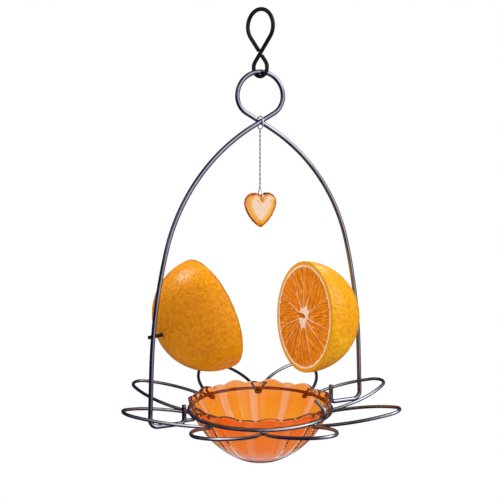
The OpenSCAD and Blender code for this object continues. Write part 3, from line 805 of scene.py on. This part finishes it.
# Orange halves: face is (in from the leg, back, up) of the cut face's middle; the edge's rings
# are given as (in from the face's radius, down); heights and depths of the relief in millimetres
orangeSizes = {"r": 37.8, "rim": 2.6, "pith": 1.3, "core": 6.8, "segments": 11, "columns": 462,
               "faceRows": (22, 64, 26), "peelRows": 96, "membrane": 0.30, "fade": 0.6,
               "edge": ((0.16, 0.03), (0.05, 0.12), (0, 0.28)), "wobble": (0.10, 0.05),
               "coreRoom": 1.6, "coreWave": 0.25, "coreStar": 0.55, "ragged": 0.35,
               "sink": 0.35, "cell": 0.16, "fine": 0.07, "hollow": 1.6, "hollowDown": 3.4,
               "hollowSize": (1.9, 6.2), "swell": 0.10, "dent": 0.7, "dentR": 5.5}
# the left half's peel takes the darker, redder colours: painted shade
orangeHalves = {
    "left": {"side": -1, "face": (40.8, 9.2, 65.0), "turn": 8.0, "tilt": 16.8, "depth": 37.3,
             "seed": 4, "spin": 11.0, "inShade": 1.0},
    "right": {"side": 1, "face": (40.2, 4.3, 58.3), "turn": 182.7, "tilt": 4.3, "depth": 38.2,
              "seed": 9, "spin": 8.0, "inShade": 0.0}}
fruitLook = {"yellow": [(0.3, (0.88, 0.36, 0.0)), (0.52, (0.94, 0.43, 0.0)),
                        (0.72, (1.0, 0.50, 0.001))],
             "shadedPeel": [(0.3, (0.84, 0.275, 0.0)), (0.52, (0.92, 0.335, 0.0)),
                     (0.72, (1.0, 0.39, 0.0))],
             "dimples": [(0.38, (0.84, 0.76, 0.8)), (0.60, (1.0, 1.0, 1.0))],
             "white": [(0.3, (0.92, 0.74, 0.56)), (0.65, (1.0, 0.90, 0.80))],
             "juiceAndHighlight": [(0.12, (0.58, 0.13, 0.0)), (0.45, (0.78, 0.24, 0.0)),
                       (0.66, (0.90, 0.33, 0.003)), (0.88, (1.0, 0.58, 0.18))],
             "hollow": (0.66, 0.22, 0.006), "rim": (0.86, 0.41, 0.002),
             "patches": 32.0, "grain": 420.0, "pores": 560.0, "poreSpread": 0.9,
             "bump": 0.8, "bumpDepth": 0.0005, "peelRough": 0.30, "fleshRough": 0.24,
             "mirror": 0.22, "softShare": 0.10, "softReach": (0.0035, 0.0012, 0.0003)}


def orangeMesh(h):
    o, seed = orangeSizes, h["seed"]
    centre = h["depth"] - o["r"]
    faceR = math.sqrt(o["r"] ** 2 - centre ** 2)
    fleshR = faceR - o["rim"] - o["pith"]
    a = roundTurn(o["columns"])
    # rows: out over the cut face, round its edge, then down the peel to the far end
    stops = (0.02, o["core"] * o["coreRoom"], fleshR - 1, faceR - 0.35)
    spans = [np.linspace(*span)[:-1] for span in zip(stops, stops[1:], o["faceRows"])]
    faceRows = np.append(np.concatenate(spans), stops[-1])
    lowest = math.asin(-centre / o["r"])
    down = np.linspace(math.pi / 2 - lowest + 0.012, math.pi - 0.004, o["peelRows"])
    edge = [faceR, 0] - np.array(o["edge"])
    r = np.concatenate([faceRows, edge[:, 0], o["r"] * np.sin(down)])[:, None] + 0 * a
    z = np.concatenate([0 * faceRows, edge[:, 1], -centre + o["r"] * np.cos(down)])[:, None] + 0 * a
    x, y = r * np.cos(a), r * np.sin(a)
    onFace = (np.arange(len(r)) < len(faceRows))[:, None] * np.ones_like(a)
    # each direction's segment, and its distance from the nearest membrane at that radius
    slow, quick = o["wobble"]
    wobble = slow * np.sin(3 * a + seed) + quick * np.sin(5 * a + 2 * seed)
    stretch = 1 + 3 * slow * np.cos(3 * a + seed) + 5 * quick * np.cos(5 * a + 2 * seed)
    turned = (a + wobble + toRadians(h["spin"])) * o["segments"] / (2 * math.pi)
    inSegment = (turned % 1) - 0.5
    halfAngle = math.pi / o["segments"] / stretch
    side = r * np.sin((0.5 - np.abs(inSegment)) * 2 * halfAngle)
    along = r * np.cos(inSegment * 2 * halfAngle)
    sideways = r * np.sin(inSegment * 2 * halfAngle)
    # the core runs out along the membranes as a star, and each membrane fades towards the rind
    ripple = waves(a[None] * 3, 0 * a[None], seed + 1, (0.35, 0.35))
    coreR = o["core"] * (0.9 + o["coreWave"] * ripple)
    coreR = coreR * (1 + o["coreStar"] * np.abs(2 * inSegment) ** 5)
    fading = 1 - o["fade"] * smoothStep(o["core"], fleshR, r)
    apart = side / (0.6 + 0.4 * fading)
    wall = smoothStep(o["membrane"] * 1.3, o["membrane"] * 0.3, apart) * fading
    ragged = o["ragged"] * waves(x, y, seed + 2, (0.45, 0.45))
    flesh = (smoothStep(0, 0.5, r - coreR) * smoothStep(0.3, -0.3, r - fleshR - 0.9 * ragged)
             * (1 - wall)) * onFace
    # the pulp's cells are waves much longer along the segment than across it
    cell = waves(along, sideways + 9 * np.floor(turned), seed + 3, (0.13, 1.0), 40)
    fine = waves(along, sideways + 7 * np.floor(turned), seed + 4, (0.26, 2.2), 40)
    wideway, longway = o["hollowSize"]
    hollow = smoothStep(1.1, 0.6, np.hypot(x / wideway, (y + o["hollowDown"]) / longway)) * onFace
    z = z - o["sink"] * flesh + (o["cell"] * cell + o["fine"] * fine) * flesh - o["hollow"] * hollow
    z = z + 0.05 * ragged * onFace * (1 - flesh)
    pith = onFace * smoothStep(faceR - o["rim"] + 0.3, faceR - o["rim"] - 0.3, r - 0.3 * ragged)
    # the peel dips a little here and there, and at its far end
    swell = o["swell"] * waves(z, x * 0.9, seed + 5, (0.06, 0.06)) * (1 - onFace)
    shrunk = r + np.minimum(swell, 0) * (r / o["r"])
    dent = smoothStep(o["dentR"], 0.5, r) * (z < -o["r"] * 0.5) * o["dent"]
    verts = np.stack([shrunk * np.cos(a), shrunk * np.sin(a), z + dent], -1).reshape(-1, 3)
    marks = {"onFace": onFace, "pith": pith, "flesh": flesh, "hollow": hollow,
             "cell": 0.5 + 0.22 * cell + 0.12 * fine, "inShade": h["inShade"] + 0 * r}
    return verts, cappedFaces(len(r), len(a), flip=True), marks


def fruit():
    # peel, pith, flesh and core in one material, told apart by values at the vertices
    f = fruitLook
    material, tree, shader = newMaterial("orangeFruit")
    patch, grain = noise(tree, f["patches"], 4.0), noise(tree, f["grain"], 5.0)
    # the left half's peel is painted darker and redder, as painted shade, and the peel is darker
    # and redder in its small dimples
    peel = blend(tree, mark(tree, "inShade"), ramp(tree, patch, f["yellow"]),
                 ramp(tree, patch, f["shadedPeel"]))
    peel = blend(tree, 1.0, peel, ramp(tree, grain, f["dimples"]), "MULTIPLY")
    deep = blend(tree, mark(tree, "hollow"), ramp(tree, grain, f["white"]), f["hollow"])
    colour = blend(tree, mark(tree, "onFace"), peel, f["rim"])
    colour = blend(tree, mark(tree, "pith"), colour, deep)
    # the pulp's colour follows its cells: partly its own uneven tone, and at the palest end a
    # painted highlight on their raised crests
    colour = blend(tree, mark(tree, "flesh"), colour, ramp(tree, mark(tree, "cell"), f["juiceAndHighlight"]))
    pores = shaderNode(tree, "ShaderNodeTexVoronoi",
                       {"Vector": spot(tree), "Scale": f["pores"],
                        "Randomness": f["poreSpread"]}).outputs["Distance"]
    pit = ramp(tree, pores, [(0.0, grey(0.0)), (0.4, grey(1.0))])
    uneven = reckon(tree, "MULTIPLY", grain, 0.5)
    height = shaderNode(tree, "ShaderNodeMix", {0: mark(tree, "onFace"), 2: pit, 3: uneven})
    bump = shaderNode(tree, "ShaderNodeBump", {"Height": height.outputs[0], "Strength": f["bump"],
                                               "Distance": f["bumpDepth"]})
    gloss = shaderNode(tree, "ShaderNodeMix", {0: mark(tree, "flesh"), 2: f["peelRough"],
                                               3: f["fleshRough"]})
    fill(tree, shader, {
        "Base Color": colour, "Normal": bump.outputs["Normal"], "Roughness": gloss.outputs[0],
        "Subsurface Weight": f["softShare"], "Subsurface Radius": f["softReach"],
        "Specular IOR Level": f["mirror"]})
    return material


def makeOranges():
    material = fruit()
    for name, h in orangeHalves.items():
        verts, faces, marks = orangeMesh(h)
        verts = verts @ (turnZ(h["turn"]) @ turnY(90 - h["tilt"])).T
        inward, back, up = h["face"]
        verts = verts + [h["side"] * (legAt(up) - inward), back, ringZ + up]
        half = addPiece("orange" + name.capitalize(), verts, faces, "frame",
                        material, marks=marks)
        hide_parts("orange_half_" + name)


makeOranges()
print("oranges made")

# Studio: pale floor, white surround, soft light. Each lamp is (place, width, power, whether it
# lights the fruit alone); aim is the point that the lamps face
studio = {"floorZ": -0.62, "floorSize": 6.0, "floorColour": (0.93, 0.93, 0.94, 1),
          "floorRough": 0.7, "floorThroughGlass": 0.95, "fill": 0.60,
          "fillColour": (1, 0.99, 0.97, 1), "overhead": 0.5, "glowAt": (24.0, 22.0),
          "glowCone": (0.62, 0.86), "mirror": 1.7, "dimRoom": (0.030, 0.024, 0.080),
          "aim": (0, 0, -0.16),
          "lamps": {"keyLamp": ((1.0, -0.7, 0.8), 1.2, 17.0, False),
                    "sideLamp": ((-1.2, -0.6, 0.4), 0.7, 1.0, False),
                    "backLeftLamp": ((-0.6, 0.75, 0.95), 0.5, 11.0, True),
                    "backRightLamp": ((0.75, 0.7, 0.85), 0.5, 7.0, True)}}


def mirrorRays(tree, rays):
    # 1 for what a surface mirrors, 0 for what is seen directly or through glass
    through = reckon(tree, "SUBTRACT", 1.0, rays["Is Transmission Ray"])
    return reckon(tree, "MULTIPLY", rays["Is Glossy Ray"], through)


def mirroredRoom(tree, way):
    # what the metal mirrors: a dim room with a broad soft light in front, which fills a cone: a
    # ramp over the cosine between the way and the cone's axis
    turn, rise = studio["glowAt"]
    aim = (sin(turn) * cos(rise), -cos(turn) * cos(rise), sin(rise))
    way = shaderNode(tree, "ShaderNodeVectorMath", {0: way}, operation="NORMALIZE").outputs[0]
    facing = shaderNode(tree, "ShaderNodeVectorMath", {0: way, 1: aim}, operation="DOT_PRODUCT")
    outside, inside = studio["glowCone"]
    glow = ramp(tree, facing.outputs["Value"], [(outside, grey(0)), (inside, grey(1))])
    return blend(tree, glow, studio["dimRoom"], grey(studio["mirror"]))


def mixShader(tree, share, first, second):
    return shaderNode(tree, "ShaderNodeMixShader", {0: share, 1: first, 2: second}).outputs[0]


def background(tree, colour, strength):
    return shaderNode(tree, "ShaderNodeBackground",
                      {"Color": colour, "Strength": strength}).outputs[0]


def emission(tree, colour, strength):
    return shaderNode(tree, "ShaderNodeEmission",
                      {"Color": colour, "Strength": strength}).outputs[0]


def makeSurround():
    # the room lights the object softly; it is white to the camera, pale through glass and dim
    # in mirrors
    world = bpy.data.worlds.new("surround")
    bpy.context.scene.world = world
    world.use_nodes = True
    tree = world.node_tree
    tree.nodes.clear()
    rays = shaderNode(tree, "ShaderNodeLightPath").outputs
    seen = reckon(tree, "MAXIMUM", rays["Is Camera Ray"], rays["Is Glossy Ray"])
    seen = reckon(tree, "MAXIMUM", seen, rays["Is Transmission Ray"])
    way = shaderNode(tree, "ShaderNodeTexCoord").outputs["Generated"]
    # glass bends light from steep directions too, where the room is dimmer than its walls
    upward = shaderNode(tree, "ShaderNodeSeparateXYZ", {0: way}).outputs["Z"]
    walls = ramp(tree, reckon(tree, "ABSOLUTE", upward),
                 [(0.45, grey(1)), (0.8, grey(studio["overhead"]))])
    white = background(tree, blend(tree, rays["Is Camera Ray"], walls, grey(1)), 1.0)
    plain = mixShader(tree, seen, background(tree, studio["fillColour"], studio["fill"]), white)
    last = mixShader(tree, mirrorRays(tree, rays), plain,
                     background(tree, mirroredRoom(tree, way), 1.0))
    tree.links.new(last, shaderNode(tree, "ShaderNodeOutputWorld").inputs["Surface"])


def makeFloor():
    # a pale floor that is plain white to the camera and a little dimmer through glass
    size, z = studio["floorSize"], studio["floorZ"]
    mesh = bpy.data.meshes.new("floor")
    mesh.from_pydata([(-size, -size, z), (size, -size, z), (size, size, z), (-size, size, z)], [],
                     [(0, 1, 2, 3)])
    floor = bpy.data.objects.new("floor", mesh)
    bpy.context.scene.collection.objects.link(floor)
    material, tree, shader = newMaterial("paleFloor")
    fill(tree, shader, {"Base Color": studio["floorColour"], "Roughness": studio["floorRough"]})
    rays = shaderNode(tree, "ShaderNodeLightPath").outputs
    seen = reckon(tree, "MAXIMUM", rays["Is Camera Ray"], rays["Is Transmission Ray"])
    bright = shaderNode(tree, "ShaderNodeMix", {0: rays["Is Camera Ray"],
                                                2: studio["floorThroughGlass"], 3: 1.0}).outputs[0]
    plain = mixShader(tree, seen, shader.outputs[0], emission(tree, (1, 1, 1, 1), bright))
    # upright wires mirror the far floor, so it shows the room's soft light too
    way = shaderNode(tree, "ShaderNodeVectorMath", {0: spot(tree), 1: studio["aim"]},
                     operation="SUBTRACT").outputs[0]
    last = mixShader(tree, mirrorRays(tree, rays), plain,
                     emission(tree, mirroredRoom(tree, way), 1.0))
    tree.links.new(last, tree.nodes["Material Output"].inputs["Surface"])
    mesh.materials.append(material)


def makeLamps():
    fruitOnly = bpy.data.collections.new("fruitOnly")
    for half in ("orangeLeft", "orangeRight"):
        fruitOnly.objects.link(bpy.data.objects[half])
    for name, (place, width, power, forFruit) in studio["lamps"].items():
        lamp = bpy.data.lights.new(name, "AREA")
        lamp.size, lamp.energy = width, power
        light = bpy.data.objects.new(name, lamp)
        bpy.context.scene.collection.objects.link(light)
        light.location = place
        light.visible_transmission = False
        if forFruit:
            light.light_linking.receiver_collection = fruitOnly
        towards = np.array(studio["aim"]) - np.array(place)
        light.rotation_euler = (math.pi - math.acos(towards[2] / np.linalg.norm(towards)), 0,
                                math.atan2(towards[1], towards[0]) - math.pi / 2)


bpy.context.scene.view_settings.view_transform = "Standard"
makeSurround()
makeFloor()
makeLamps()

# Camera: the photograph's view, as distances in millimetres and pixels of its 500 pixel frame
view = {"azimuth": -24.3, "away": 617.1, "above": 187.1, "pitch": 7.1, "focal": 949.77,
        "centre": (260.3, 244.2), "frame": 500, "sensor": 36.0}


def makeCamera():
    v = view
    camera = bpy.data.cameras.new("photoCamera")
    camera.sensor_width = v["sensor"]
    camera.lens = v["focal"] * v["sensor"] / v["frame"]
    camera.shift_x = -(v["centre"][0] - v["frame"] / 2) / v["frame"]
    camera.shift_y = (v["centre"][1] - v["frame"] / 2) / v["frame"]
    camera.clip_start, camera.clip_end = 0.01, 50
    stand = bpy.data.objects.new("photoCamera", camera)
    bpy.context.scene.collection.objects.link(stand)
    stand.location = (v["away"] * sin(v["azimuth"]) * mm, -v["away"] * cos(v["azimuth"]) * mm,
                      (ringZ + v["above"]) * mm)
    stand.rotation_euler = (toRadians(90 - v["pitch"]), 0, toRadians(v["azimuth"]))
    bpy.context.scene.camera = stand


makeCamera()
print("studio and camera made")
